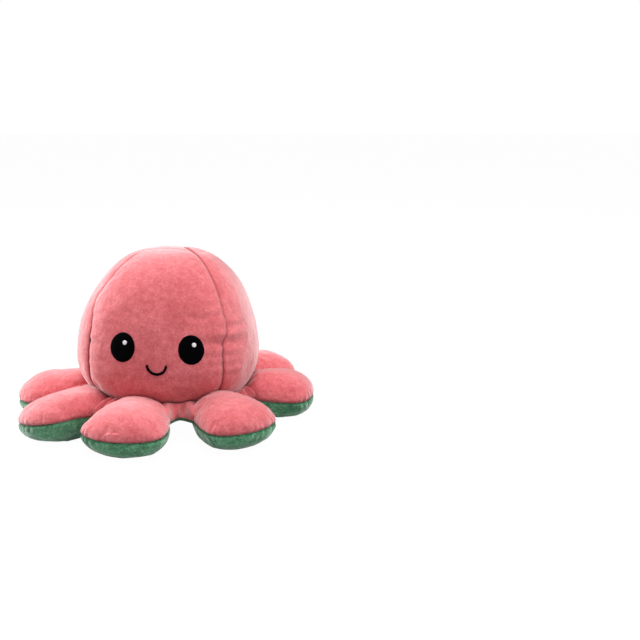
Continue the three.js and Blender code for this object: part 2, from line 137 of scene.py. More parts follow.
def cloth(across, along, shape):
    """A grid laid over shape(u, v), u from -1 to 1 and v from 0 to 1. shape returns a point, how close
    it is to a seam, and how firmly it is held while the piece is filled."""
    bm = bmesh.new()
    bmesh.ops.create_grid(bm, x_segments=across, y_segments=along, size=1.0)
    seam, held = (bm.verts.layers.float.new(name) for name in ("seam", "held"))
    for vert in bm.verts:
        vert.co, vert[seam], vert[held] = shape(-vert.co.x, (vert.co.y + 1) / 2)
        if vert.is_boundary:
            vert[held] = 1.0
    bmesh.ops.remove_doubles(bm, verts=bm.verts, dist=1e-6)
    bm.normal_update()
    return bm


def thicken(made, side=-1.0):
    """Give a sheet its thickness, behind its face for side -1."""
    back = made.modifiers.new("thickness", "SOLIDIFY")
    back.thickness, back.offset = CLOTH * MM, side
    graph = bpy.context.evaluated_depsgraph_get()
    made.data = bpy.data.meshes.new_from_object(made.evaluated_get(graph))
    made.modifiers.clear()


def fill(sheets):
    """Stuff sewn sheets by cloth simulation, all at once. Each comes with its share of spare cloth and
    with how far, in millimetres, a point of it may move."""
    scene = bpy.context.scene
    for made, spare, _ in sheets:
        group = made.vertex_groups.new(name="held")
        for index, held in enumerate(made.data.attributes["held"].data):
            if held.value > 0.0:
                group.add([index], held.value, "REPLACE")
        filling = made.modifiers.new("filling", "CLOTH")
        filling.point_cache.frame_end = FILLING_STEPS
        weave = filling.settings
        weave.vertex_group_mass = group.name
        weave.mass, weave.quality, weave.air_damping = 0.1, 2, 2.0
        weave.tension_stiffness = weave.compression_stiffness = 12.0
        weave.shear_stiffness, weave.bending_stiffness = 4.0, 0.05
        weave.use_pressure, weave.uniform_pressure_force = True, FILLING_PRESSURE
        weave.shrink_min = -spare
        weave.effector_weights.gravity = 0.0
    for step in range(1, FILLING_STEPS + 1):
        scene.frame_set(step)
    graph = bpy.context.evaluated_depsgraph_get()
    for made, _, cap in sheets:
        filled = made.evaluated_get(graph)
        held = made.data.attributes["held"].data
        for vert, moved, hold in zip(made.data.vertices, filled.to_mesh().vertices, held):
            way = (moved.co - vert.co) * (1 - hold.value)
            vert.co += way * min(1.0, cap * MM / max(way.length, 1e-9))
            vert.co.z = max(vert.co.z, 0.0)
        filled.to_mesh_clear()
    for made, *_ in sheets:
        made.modifiers.clear()
        made.vertex_groups.clear()
    scene.frame_set(1)


# Shaders

class Value:
    """A shader socket that takes part in Python sums."""

    def __init__(self, nodes, socket):
        self.nodes, self.socket = nodes, socket

    def maths(self, operation, other):
        return self.nodes.node("ShaderNodeMath", {"operation": operation}, {0: self, 1: other})

    def __add__(self, other):
        return self.maths("ADD", other)

    __radd__ = __add__

    def __mul__(self, other):
        return self.maths("MULTIPLY", other)

    __rmul__ = __mul__

    def __or__(self, other):
        return self.maths("MAXIMUM", other)


class Nodes:
    """The nodes of a material or of the world, made one by one."""

    def __init__(self, holder):
        holder.use_nodes = True
        self.holder, self.tree = holder, holder.node_tree
        self.tree.nodes.clear()

    def node(self, kind, settings=None, inputs=None, output=0):
        made = self.tree.nodes.new(kind)
        for key, value in (settings or {}).items():
            if key == "stops":
                ramp = made.color_ramp.elements
                while len(ramp) < len(value):
                    ramp.new(1.0)
                for element, (place, color) in zip(ramp, value):
                    element.position, element.color = place, (*color, 1.0)
            else:
                setattr(made, key, value)
        for key, value in (inputs or {}).items():
            if isinstance(value, Value):
                self.tree.links.new(value.socket, made.inputs[key])
            else:
                made.inputs[key].default_value = value
        return Value(self, made.outputs[output]) if made.outputs else None

    def finished(self, shader, kind="ShaderNodeOutputMaterial"):
        self.node(kind, None, {"Surface": shader})
        return self.holder


def linear(red, green, blue):
    """A colour as it looks on screen, 0 to 255, as the linear values that a shader takes."""
    shares = [value / 255 for value in (red, green, blue)]
    return tuple(s / 12.92 if s <= 0.04045 else ((s + 0.055) / 1.055) ** 2.4 for s in shares)


# Grain of the plush in metres, and how strongly the dark seam line is drawn: painted shade of the seam's
# crease, and the pile parted there
PILE_GRAIN, TUFT_GRAIN, NAP_GRAIN = 0.0012, 0.0040, 0.024
SEAM_SHADE_STRENGTH = 0.75


def plush(name, stitch, deep, body, tip, sheen):
    """Short-pile plush: fine speckled pile in soft tufts, brushed patches, a pale bloom at a glance,
    and along the seams a flat dark line without sheen, in the stitch colour: painted shade of the seam's
    crease, and the pile parted there."""
    finish = Nodes(bpy.data.materials.new(name))
    where = finish.node("ShaderNodeTexCoord", output="Object")

    def grain(size, detail, roughness):
        inputs = {"Vector": where, "Scale": 1.0 / size, "Detail": detail, "Roughness": roughness}
        return finish.node("ShaderNodeTexNoise", None, inputs, "Fac")

    pile = grain(PILE_GRAIN, 3.0, 0.65)
    tuft = grain(TUFT_GRAIN, 2.0, 0.55)
    nap = grain(NAP_GRAIN, 2.0, 0.5)
    # The seam mask turns the plush into a dark matte line: painted shade of the seam's crease, and the pile
    # parted there
    seam = finish.node("ShaderNodeAttribute", {"attribute_name": "seam"}, None, "Fac")
    tone = pile * 0.45 + tuft * 0.3 + nap * 0.25
    stops = [(0.36, deep), (0.5, body), (0.64, tip)]
    color = finish.node("ShaderNodeValToRGB", {"stops": stops}, {"Fac": tone}, "Color")
    relief = {"Strength": 0.45, "Distance": 0.0008, "Height": pile * 0.7 + tuft * 0.9}
    bump = finish.node("ShaderNodeBump", None, relief, "Normal")
    surface = {"Base Color": color, "Roughness": 0.82 + pile * 0.25, "Normal": bump,
               "Specular IOR Level": 0.1, "Sheen Weight": 1.0, "Sheen Roughness": 0.44,
               "Sheen Tint": (*sheen, 1.0)}
    fabric = finish.node("ShaderNodeBsdfPrincipled", None, surface, "BSDF")
    # The seam line's finish: dark and matte, without sheen, as painted shade
    seam_shade_inputs = {"Base Color": (*stitch, 1.0), "Roughness": 0.95, "Specular IOR Level": 0.05}
    line = finish.node("ShaderNodeBsdfPrincipled", None, seam_shade_inputs, "BSDF")
    mixed = {0: seam * SEAM_SHADE_STRENGTH, 1: fabric, 2: line}
    return finish.finished(finish.node("ShaderNodeMixShader", None, mixed, "Shader"))


def thread(name, deep, body, gloss):
    """Satin stitch: fine threads side by side along the patch's own map."""
    finish = Nodes(bpy.data.materials.new(name))
    where = finish.node("ShaderNodeUVMap", {"uv_map": "stitches"}, None, "UV")
    wave = {"Vector": where, "Scale": 0.9, "Distortion": 0.8, "Detail": 1.0, "Detail Scale": 1.5}
    strand = finish.node("ShaderNodeTexWave", {"bands_direction": "X"}, wave, "Fac")
    fluff = finish.node("ShaderNodeTexNoise", None, {"Vector": where, "Scale": 2.2, "Detail": 2.0}, "Fac")
    tone = strand * 0.7 + fluff * 0.3
    stops = [(0.2, deep), (0.8, body)]
    color = finish.node("ShaderNodeValToRGB", {"stops": stops}, {"Fac": tone}, "Color")
    relief = {"Strength": 0.4, "Distance": 0.0002, "Height": strand}
    bump = finish.node("ShaderNodeBump", None, relief, "Normal")
    surface = {"Base Color": color, "Roughness": gloss + 0.15 * fluff, "Normal": bump,
               "Specular IOR Level": 0.02}
    return finish.finished(finish.node("ShaderNodeBsdfPrincipled", None, surface, "BSDF"))


# Each stitch colour is the dark seam line's: painted shade of the seam's crease, and the pile parted there
PINK = plush("pink_plush", stitch=linear(160, 55, 61), deep=linear(196, 86, 91), body=linear(213, 105, 110),
             tip=linear(230, 127, 132), sheen=(1.0, 0.93, 0.94))
GREEN = plush("green_plush", stitch=linear(34, 76, 52), deep=linear(36, 88, 58), body=linear(76, 136, 99),
              tip=linear(126, 188, 148), sheen=(0.85, 0.97, 0.9))
BLACK = thread("black_thread", linear(1, 1, 2), linear(4, 4, 6), 0.75)
WHITE = thread("white_thread", linear(214, 216, 220), linear(252, 252, 252), 0.5)


# Heads

# Azimuths of the pink head's seams: left front, right front, right back and left back
SEAM_TURNS = (-45.5, 41.5, 135.0, 225.0)
# Half width of the dark line along the seams of either head (painted shade of the crease, and the pile
# parted there), and depth and step of the pink seams' puckers
HEAD_SEAM_SHADE, LINING_SEAM_SHADE, HEAD_PUCKER, HEAD_PUCKER_STEP = 0.9, 2.2, 0.22, 7.5
# A distance from a gore's seams at which they no longer draw the cloth in, and a place far before a face
FAR_FROM_SEAM, FAR_AHEAD = 30.0, 200.0


def seam_azimuth(index, up):
    """Azimuth of a head seam: the left front one bows out below the crown, the right front leans out."""
    bow = -8.5 * bell((up - 88.0) / 11.0) - 3.0 * bell((up - 33.0) / 6.0)
    lean = 7.0 * smoothstep(50.0, 95.0, up) + 2.4 * bell((up - 70.0) / 7.0)
    left, right, back_right, back_left = SEAM_TURNS
    return (left + bow, right + lean, back_right, back_left)[index % 4] + 360.0 * (index // 4)


def head_side(t):
    """Out and up along the side of the pink head, crown to neck."""
    if t < CROWN_SHARE:
        turn = math.pi / 2 * t / CROWN_SHARE
        out = HEAD_RADIUS * math.sin(turn) ** HEAD_FULLNESS
        return out, HEAD_WIDEST + (HEAD_HEIGHT - HEAD_WIDEST) * math.cos(turn)
    fall = (t - CROWN_SHARE) / (1 - CROWN_SHARE)
    out = NECK_RADIUS + (HEAD_RADIUS - NECK_RADIUS) * (1 - fall ** HEAD_TUCK)
    return out, HEAD_WIDEST - (HEAD_WIDEST - NECK_HEIGHT) * fall


def pocket_side(t):
    """Out and up along the side of the green lining head, crown to mouth."""
    if t < CROWN_SHARE:
        turn = math.pi / 2 * t / CROWN_SHARE
        out = POCKET_RADIUS * math.sin(turn) ** POCKET_FULLNESS
        return out, POCKET_WIDEST + (POCKET_HEIGHT - POCKET_WIDEST) * math.cos(turn)
    fall = (t - CROWN_SHARE) / (1 - CROWN_SHARE)
    out = POCKET_MOUTH + (POCKET_RADIUS - POCKET_MOUTH) * (1 + math.cos(math.pi * fall)) / 2
    return out, POCKET_WIDEST - (POCKET_WIDEST - POCKET_LIP) * fall


def on_side(side, t, depth):
    """A point of a head's side sunk by a depth along its normal."""
    step = 1e-3
    (a, b), (c, d) = side(max(0.0, t - step)), side(min(1.0, t + step))
    length = math.hypot(c - a, d - b)
    out, up = side(t)
    return max(0.0, out + (d - b) / length * depth), up - (c - a) / length * depth


def square_plan(azimuth, up):
    """Seen from above the head is a rounded square, and round at the neck."""
    n, turn = HEAD_SQUARENESS, math.radians(azimuth)
    square = (abs(math.cos(turn)) ** n + abs(math.sin(turn)) ** n) ** (-1 / n)
    rise = smoothstep(NECK_HEIGHT, HEAD_WIDEST, up)
    return 1 + (square - 1) * rise


# Folds of the front: azimuth, height, half length along the azimuth, half height, depth
FACE_FOLDS = (
    (46.0, 61.0, 17.0, 2.8, 1.4),
    (40.0, 53.0, 15.0, 1.8, 0.5),
    (47.0, 47.0, 14.0, 1.6, 0.4),
    (-38.0, 51.0, 10.0, 1.6, 0.5),
    (-43.0, 62.0, 9.0, 1.5, 0.5),
    (58.0, 70.0, 11.0, 1.6, 0.6),
    (-54.0, 46.0, 9.0, 1.5, 0.6),
    (52.0, 40.0, 10.0, 1.6, 0.6),
)
# Where the cloth lies flatter than the head's form: azimuth, height, half turn, half height, depth
FLATS = ((285.0, 92.0, 35.0, 14.0, 2.0), (85.0, 64.0, 35.0, 24.0, 1.3))


def head_depth(azimuth, up, from_seam, index, edge):
    """How far the pink cloth of a gore is drawn in, in millimetres. edge tells its two seams apart."""
    point = Vector((azimuth * 0.02, up * 0.02, index))
    groove = 0.6 * bell(from_seam / 1.3) + 0.4 * bell(from_seam / 4.0)
    drift = noise.noise(Vector((edge * 7.1, up * 0.12, 0.3)))
    wave = math.sin(up * 2 * math.pi / HEAD_PUCKER_STEP + 3.0 * drift)
    strength = 0.45 + noise.noise(Vector((edge * 3.7, up * 0.06, 9.1)))
    pucker = HEAD_PUCKER * wave * bell((from_seam - 2.5) / 5.0) * strength
    fold = 0.0
    for turn, height, half, thick, deep in FACE_FOLDS:
        ridge = (up - height + 0.08 * (azimuth - turn)) / thick
        fold += deep * bell((azimuth - turn) / half) * (bell(ridge) - 0.55 * bell(ridge - 2.0))
    flat = sum(deep * bell((azimuth % 360 - turn) / half) * bell((up - height) / tall)
               for turn, height, half, tall, deep in FLATS)
    uneven = 0.8 * noise.noise(point) + 0.3 * noise.noise(point * 3.1)
    return groove + pucker + fold + flat + uneven - 0.3


def set_back(azimuth, t):
    """The crown lies behind the head's axis: the cloth near it is moved back over the same form."""
    out = head_side(t)[0]
    if t >= CROWN_SHARE or out >= CROWN_REACH:
        return azimuth, t
    turn = math.radians(azimuth)
    x = out * math.sin(turn)
    y = -out * math.cos(turn) + CROWN_BACK * (1 - smoothstep(0.0, CROWN_REACH, out))
    out = min(math.hypot(x, y), HEAD_RADIUS)
    rise = math.asin((out / HEAD_RADIUS) ** (1 / HEAD_FULLNESS))
    return math.degrees(math.atan2(x, -y)), CROWN_SHARE * rise / (math.pi / 2)


def embroidered(azimuth, up):
    """1 under the smiling face's stitches, which hold the cloth, and 0 away from them."""
    eyes = [(FACE_TURN + way * EYE_SPREAD, EYE_HEIGHT - way * EYE_DROP, EYE_HALF_WIDTH, EYE_HALF_HEIGHT)
            for way in (-1, 1)]
    smile = (FACE_TURN, MOUTH_HEIGHT + MOUTH_RISE / 2, MOUTH_HALF, MOUTH_RISE / 2)
    margin = 1.5
    near = []
    for turn, height, wide, tall in (*eyes, smile):
        aside = math.radians(azimuth - turn) * HEAD_RADIUS
        near.append(math.hypot(aside / (wide + margin), (up - height) / (tall + margin)))
    return 1 - smoothstep(1.0, 1.7, min(near))


def head_gore(index, name):
    """A pink gore between two seams, crown to neck."""
    def shape(u, v):
        out, up = head_side(v)
        side = math.copysign(abs(u) ** 0.8, u)
        start, end = seam_azimuth(index, up), seam_azimuth(index + 1, up)
        azimuth = start + (end - start) * (side + 1) / 2
        from_seam = (1 - abs(side)) * max(out, 1.0) * math.radians((end - start) / 2)
        near_crown = smoothstep(0.5, 14.0, out)
        depth = head_depth(azimuth, up, from_seam, index, index + (0.5 if u > 0 else 0.0))
        depth = depth * near_crown + 0.8 * (1 - near_crown)
        held = max(1 - smoothstep(4.0, 16.0, out), 0.85 * bell(from_seam / 3.0))
        if index == 0:
            held = max(held, embroidered(azimuth, up))
        azimuth, t = set_back(azimuth, v)
        out, up = on_side(head_side, t, depth)
        # The second value draws the dark seam line: painted shade of the crease, and parted pile
        return spot(azimuth, out * square_plan(azimuth, up), up), bell(from_seam / HEAD_SEAM_SHADE), held

    return piece(cloth(*HEAD_GRID, shape), f"head_{name}", PINK)


def lining_gore(index, name):
    """A green gore of the lining head, a little crumpled, with its seams turned into the pocket."""
    def shape(u, v):
        out, up = pocket_side(v)
        azimuth = 90.0 * index + 45.0 * u
        from_seam = (1 - abs(u)) * max(out, 1.0) * math.pi / 4
        crumple = noise.noise(Vector((azimuth * 0.035, up * 0.05, 4.0)))
        crumple += 0.5 * noise.noise(Vector((azimuth * 0.09, up * 0.11, 7.0)))
        depth = 0.7 * crumple - 1.2 * bell(from_seam / 2.0)
        depth *= smoothstep(0.5, 12.0, out) * smoothstep(POCKET_LIP, POCKET_LIP + 8.0, up)
        out, up = on_side(pocket_side, v, depth)
        # The second value draws the dark seam line: painted shade of the crease, and parted pile
        return spot(azimuth, out, up), bell(from_seam / LINING_SEAM_SHADE), 0.0

    made = piece(cloth(*LINING_GRID, shape), f"lining_{name}", GREEN)
    thicken(made, 1.0)
    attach(made, "head")
    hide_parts(f"lining_gore_{name}")


heads = {}
for index, name in enumerate(("front", "right", "back", "left")):
    heads[name] = head_gore(index, name)
    lining_gore(index, name)


# Faces

def height_share(side, up):
    """Where along a head's side a height lies."""
    start, end = 0.0, 1.0
    for _ in range(40):
        middle = (start + end) / 2
        if side(middle)[1] > up:
            start = middle
        else:
            end = middle
    return (start + end) / 2


def on_face(side, azimuth, up, lift):
    """A point above the plush of the front gore of either head, by a lift away from the cloth."""
    t = height_share(side, up)
    if side is head_side:
        out, up = on_side(side, t, head_depth(azimuth, up, FAR_FROM_SEAM, 0, 0.0) - lift)
        return spot(azimuth, out * square_plan(azimuth, up), up)
    out, up = on_side(side, t, lift + PILE_LENGTH)
    return spot(azimuth, out, up)


def sewn_on(bm, name, side, azimuth, up, finish):
    """Turn a patch's faces away from its cloth, give it a back, and fix it to the head."""
    bm.normal_update()
    middle = spot(azimuth, 0.0 if side is head_side else FAR_AHEAD, up)
    if sum(face.normal.dot(face.calc_center_median() - middle) for face in bm.faces) < 0:
        bmesh.ops.reverse_faces(bm, faces=bm.faces)
    made = piece(bm, name, finish)
    thicken(made)
    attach(made, "head")
    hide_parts(name)


def stitched(name, side, azimuth, up, outline, rise, lift, finish):
    """A raised patch of satin stitch with the given outline about a spot on a face."""
    bm = bmesh.new()
    shares = (0.0, 0.25, 0.5, 0.7, 0.84, 0.93, 0.98, 1.0, 1.015)
    rim = [bm.verts.new((share, 0.0, 0.0)) for share in shares]
    edges = [bm.edges.new(pair) for pair in zip(rim, rim[1:])]
    bmesh.ops.spin(bm, geom=rim + edges, cent=(0, 0, 0), axis=(0, 0, 1), angle=2 * math.pi,
                   steps=PATCH_STEPS, use_merge=True)
    bmesh.ops.remove_doubles(bm, verts=bm.verts, dist=1e-4)
    bmesh.ops.recalc_face_normals(bm, faces=bm.faces)
    uv = bm.loops.layers.uv.new("stitches")
    radius = side(height_share(side, up))[0]
    flat = {}
    for vert in bm.verts:
        share = min(1.0, vert.co.xy.length)
        turn = math.atan2(vert.co.y, vert.co.x)
        x, y = outline(turn)
        flat[vert] = (x * share, y * share)
        proud = rise * (1 - share ** 6) - (PATCH_SINK if vert.co.xy.length > 1.005 else 0.0)
        vert.co = on_face(side, azimuth + math.degrees(x * share / radius), up + y * share, lift + proud)
    for face in bm.faces:
        for loop in face.loops:
            loop[uv].uv = flat[loop.vert]
    sewn_on(bm, name, side, azimuth, up, finish)


def oval(half_width, half_height):
    """The outline of an oval."""
    return lambda turn: (half_width * math.cos(turn), half_height * math.sin(turn))


def browed(inward):
    """An oval cut off by a straight brow that falls towards the nose."""
    def outline(turn):
        x, y = FROWN_HALF_WIDTH * math.cos(turn), FROWN_HALF_HEIGHT * math.sin(turn)
        brow = y + inward * BROW_SLOPE * x
        share = min(1.0, BROW_HEIGHT / max(brow, 1e-3))
        return x * share, y * share

    return outline


def mouth_line(name, side, azimuth, up, half, rise, tilt):
    """A stitched line: half an oval, open upwards for a positive rise, its right end lowered by a tilt."""
    radius = side(height_share(side, up))[0]

    def shape(u, v):
        turn = math.pi / 2 * (2 * v - 1)
        narrowed = 1 - 0.4 * smoothstep(0.94, 1.0, abs(2 * v - 1))
        across = LINE_HALF_WIDTH * math.sin(u * math.pi / 2) * narrowed
        x = (half + across) * math.sin(turn)
        y = rise - (rise + across * math.copysign(1.0, rise)) * math.cos(turn)
        y -= x * math.tan(math.radians(tilt))
        lift = LINE_LIFT + LINE_PROUD * math.cos(u * math.pi / 2) - (LINE_SINK if abs(u) > 0.99 else 0.0)
        return on_face(side, azimuth + math.degrees(x / radius), up + y, lift), 0.0, 0.0

    bm = cloth(*LINE_GRID, shape)
    uv = bm.loops.layers.uv.new("stitches")
    for face in bm.faces:
        for loop in face.loops:
            loop[uv].uv = ((loop.vert.co.x + loop.vert.co.z) / MM, 0.0)
    sewn_on(bm, name, side, azimuth, up, BLACK)


def eye(name, side, azimuth, up, outline):
    """A black eye patch."""
    stitched(name, side, azimuth, up, outline, EYE_PROUD, EYE_LIFT, BLACK)


def glint(name, side, azimuth, up):
    """The small white patch on an eye."""
    outline = oval(GLINT_HALF_WIDTH, GLINT_HALF_HEIGHT)
    stitched(name, side, azimuth, up, outline, GLINT_PROUD, GLINT_LIFT, WHITE)


for name, way in (("left", -1), ("right", 1)):
    smile_turn, smile_up = FACE_TURN + way * EYE_SPREAD, EYE_HEIGHT - way * EYE_DROP
    frown_turn = way * FROWN_SPREAD
    eye(f"smile_eye_{name}", head_side, smile_turn, smile_up, oval(EYE_HALF_WIDTH, EYE_HALF_HEIGHT))
    glint(f"smile_eye_glint_{name}", head_side, smile_turn + GLINT_TURN, smile_up + GLINT_UP)
    eye(f"frown_eye_{name}", pocket_side, frown_turn, FROWN_HEIGHT, browed(way))
    glint(f"frown_eye_glint_{name}", pocket_side, frown_turn + FROWN_GLINT_TURN, FROWN_HEIGHT)
mouth_line("smile_mouth", head_side, FACE_TURN, MOUTH_HEIGHT, MOUTH_HALF, MOUTH_RISE, FACE_TILT)
mouth_line("frown_mouth", pocket_side, 0.0, FROWN_MOUTH_HEIGHT, FROWN_MOUTH_HALF, FROWN_MOUTH_RISE, 0.0)


# Tentacles

# Swell and creases at the root, the share of the length that lies under the head, the tip's radius, and a
# mean half width
ROOT_SWELL, ROOT_CREASE, RIGHT_ROOT_CREASE = 2.0, 0.3, 0.9
UNDER_HEAD, TIP_RADIUS, MEAN_HALF_WIDTH = 0.04, 22.0, 24.0
# Share of a cover's rows that lie before its round tip
BODY_ROWS = 0.5
# Along a cover's seam: half width of the dark line (painted shade of the crease, and the pile parted there)
# and of the groove, depth of the groove, and depth and step of the puckers
COVER_SEAM, COVER_GROOVE, COVER_PUCKER, COVER_PUCKER_STEP = 1.1, 0.9, 0.24, 5.2


def half_width(share, wide):
    """Half a tentacle's width at a share of its length: widening from the root, then a round tip."""
    if share < WIDEST_SHARE:
        return ROOT_HALF_WIDTH + (wide - ROOT_HALF_WIDTH) * math.sin(math.pi / 2 * share / WIDEST_SHARE)
    return wide * math.sqrt(max(0.0, 1 - ((share - WIDEST_SHARE) / (1 - WIDEST_SHARE)) ** 2))


def swell(share, length, up):
    """How far a tentacle's cloth stands off its seam along the middle, from under the head to the tip."""
    top, sole = (TENTACLE_TOP, ROOT_RISE, TOP_FALL), (TENTACLE_BOTTOM, SOLE_RISE, SOLE_FALL)
    peak, rise, start = top if up > 0 else sole
    root = math.sin(math.pi / 2 * min(1.0, max(0.0, share * length / rise)))
    fall = max(0.0, (share - start) / (1 - start))
    return (ROOT_SWELL + (peak - ROOT_SWELL) * root) * math.sqrt(max(0.0, 1 - fall * fall))


def tentacle_cover(name, up, seed):
    """The top cover for up 1, or the bottom cover for up -1, from under the head to the tip."""
    azimuth, reach, wide, roll = TENTACLES[name]
    length = reach - ROOT_RADIUS
    peak = TENTACLE_TOP if up > 0 else TENTACLE_BOTTOM
    root_crease = RIGHT_ROOT_CREASE if name == "right" else ROOT_CREASE

    def shape(u, v):
        across = math.sin(math.pi / 2 * u)
        if v < BODY_ROWS:
            share = -UNDER_HEAD + (WIDEST_SHARE + UNDER_HEAD) * v / BODY_ROWS
            aside = across * half_width(max(share, 0.0), wide)
            along_seam = share * length
        else:
            tip = math.sin(math.pi / 2 * (v - BODY_ROWS) / (1 - BODY_ROWS))
            x, y = tip * math.sqrt(1 - across * across / 2), across * math.sqrt(1 - tip * tip / 2)
            share = WIDEST_SHARE + (1 - WIDEST_SHARE) * x
            aside = y * wide
            along_seam = WIDEST_SHARE * length + math.atan2(x, abs(y) + 1e-6) * TIP_RADIUS
        width = max(half_width(max(share, 0.0), wide), 1e-3)
        roundness = 0.38 + 0.1 * smoothstep(0.0, 0.5, share)
        round_off = max(0.0, 1 - min(1.0, abs(aside) / width) ** 2) ** roundness
        height = swell(share, length, up) * round_off
        along = share * length
        where = Vector((along * 0.05, aside * 0.05, seed * 3.7 + up))
        height += height / peak * (1.1 * noise.noise(where) + 0.45 * noise.noise(where * 2.7))
        if name == "front" and up > 0:
            line = 6.8 * smoothstep(-11.0, -4.0, aside)
            fold = smoothstep(-12.0, -8.0, aside) * (1 - smoothstep(0.0, 7.0, aside))
            height -= 1.5 * fold * bell((height - line) / 1.2) * smoothstep(0.6, 0.8, share)
            height = max(0.0, height)
        side = math.copysign(1.0, aside)
        drift = noise.noise(Vector((along_seam * 0.1, side, seed)))
        wave = math.sin(along_seam * 2 * math.pi / COVER_PUCKER_STEP + 4.0 * drift)
        strength = 0.5 + noise.noise(Vector((along_seam * 0.07, side * 3, seed + 5.0)))
        pucker = COVER_PUCKER * wave * bell((height - 2.0) / 3.6) * strength
        pull = 1 - (COVER_GROOVE * bell(height / COVER_SEAM) + pucker) / MEAN_HALF_WIDTH
        middle = WIDEST_SHARE * length * 0.5
        rise = roll * aside / wide * smoothstep(0.1, 0.6, share)
        aside *= pull
        along = middle + (along - middle) * (pull if v >= BODY_ROWS else 1.0)
        if up > 0:
            crease = math.cos(aside * 0.85 + seed) + 0.7 * noise.noise(Vector((aside * 0.3, seed, 2.0)))
            height += root_crease * crease * bell(along / 10.0) * min(1.0, height / 3.0)
            height = max(0.0, height)
        z = SEAM_HEIGHT - along * math.tan(math.radians(DROOP)) + rise + up * height
        point = spot(azimuth, ROOT_RADIUS + along, max(z, 0.0), aside)
        # The second value draws the dark seam line: painted shade of the crease, and parted pile
        return point, 0.8 * bell(height / COVER_SEAM), 1 - smoothstep(0.0, 6.0, along)

    bm = cloth(*COVER_GRID, shape)
    if up < 0:
        bmesh.ops.reverse_faces(bm, faces=bm.faces)
    return bm


covers = {}
for seed, name in enumerate(TENTACLES):
    for up, part, finish, slot in ((1, "top", PINK, "pink_plush"), (-1, "bottom", GREEN, "green_plush")):
        covers[name, part] = piece(tentacle_cover(name, up, seed), f"tentacle_{part}_{name}", finish)


# Filling, and the body that each filled head gore moves with

# Two places by a cover's root, each out and up from the root's seam
ROOT_BEND = ((-4.0, 12.0), (14.0, -2.0))
fill([(made, HEAD_SPARE, HEAD_GIVE) for made in heads.values()]
     + [(made, TENTACLE_SPARE, TENTACLE_GIVE) for made in covers.values()])
for name, made in heads.items():
    thicken(made)
    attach(made, "head")
    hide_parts(f"head_gore_{name}", *(["head_fill"] if name == "front" else []))
for (name, part), made in covers.items():
    thicken(made)
    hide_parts(f"tentacle_{part}_{name}", *([f"tentacle_fill_{name}"] if part == "top" else []))
    azimuth = TENTACLES[name][0]
    (held_out, held_up), (free_out, free_up) = ROOT_BEND
    spot(azimuth, ROOT_RADIUS + held_out, SEAM_HEIGHT + held_up)
    spot(azimuth, ROOT_RADIUS + free_out, SEAM_HEIGHT + free_up)
    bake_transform(made)


# Skirts

ROOT_ANGLE = math.degrees(math.atan2(ROOT_HALF_WIDTH + 2.5, ROOT_RADIUS + 4.0))
# Half angles from which a web counts as broad, and below which it counts as narrow
BROAD_WEB, NARROW_WEB = (6.8, 8.2), (2.4, 4.0)
# Depth of a web's folds, and how far its rim is longer beside a tentacle, shorter under one, and longer all
# over where the web is narrow
WEB_FOLD, WEB_REACH, WEB_TUCK, NARROW_REACH = 2.3, 9.0, 4.0, 4.0
# Two places on each half of a web: out from the root, and degrees past the tentacle's side
WEB_HOLD, WEB_TURN = 9.0, 3.0
# Sections of the skirts: out, as a share of the web's width from the neck, and up
PINK_SECTION = ((-0.16, 17.2), (0.17, 18.4), (0.41, 20.6), (0.6, 22.8), (0.72, 23.4), (0.83, 22.6),
                (0.92, 20.4), (0.985, 17.6), (1.0, 15.0))
RIM_SECTION = ((1.0, 15.2), (1.0, 14.2), (0.97, 13.4), (0.9, 12.9), (0.75, 12.8), (0.55, 12.8),
               (0.35, 12.8))
MOUTH_SECTION = ((0.45, 12.8), (0.3, 12.8), (0.15, 12.8), (0.0, 12.4), (-0.05, 11.4), (-0.16, 10.6),
                 (-0.33, 10.4), (-0.45, 10.4), (-0.58, 10.9), (-0.66, 12.2), (-0.69, 14.0), (-0.69, 15.8))


def web_at(azimuth):
    """The web about an azimuth: its number, the place across it, -1 and 1 at the sides of its two
    tentacles, and half its angle."""
    turns = sorted(tentacle[0] % 360 for tentacle in TENTACLES.values())
    here = azimuth % 360
    number = sum(turn <= here for turn in turns)
    before = turns[number - 1] - (360 if number == 0 else 0)
    after = turns[number % len(turns)] + (360 if number == len(turns) else 0)
    half = max(1.0, (after - before) / 2 - ROOT_ANGLE)
    return number % len(turns), (here - (before + after) / 2) / half, half


def section_point(section, share):
    """A point at a share of the way along a smooth line through the (out, up) points of a section."""
    place = share * (len(section) - 1)
    index = min(int(place), len(section) - 2)
    part = place - index
    near = [section[min(max(index + k, 0), len(section) - 1)] for k in (-1, 0, 1, 2)]

    def smooth(a, b, c, d):
        return b + 0.5 * part * (c - a + part * (2 * a - 5 * b + 4 * c - d + part * (3 * (b - c) + d - a)))

    return tuple(smooth(*values) for values in zip(*near))


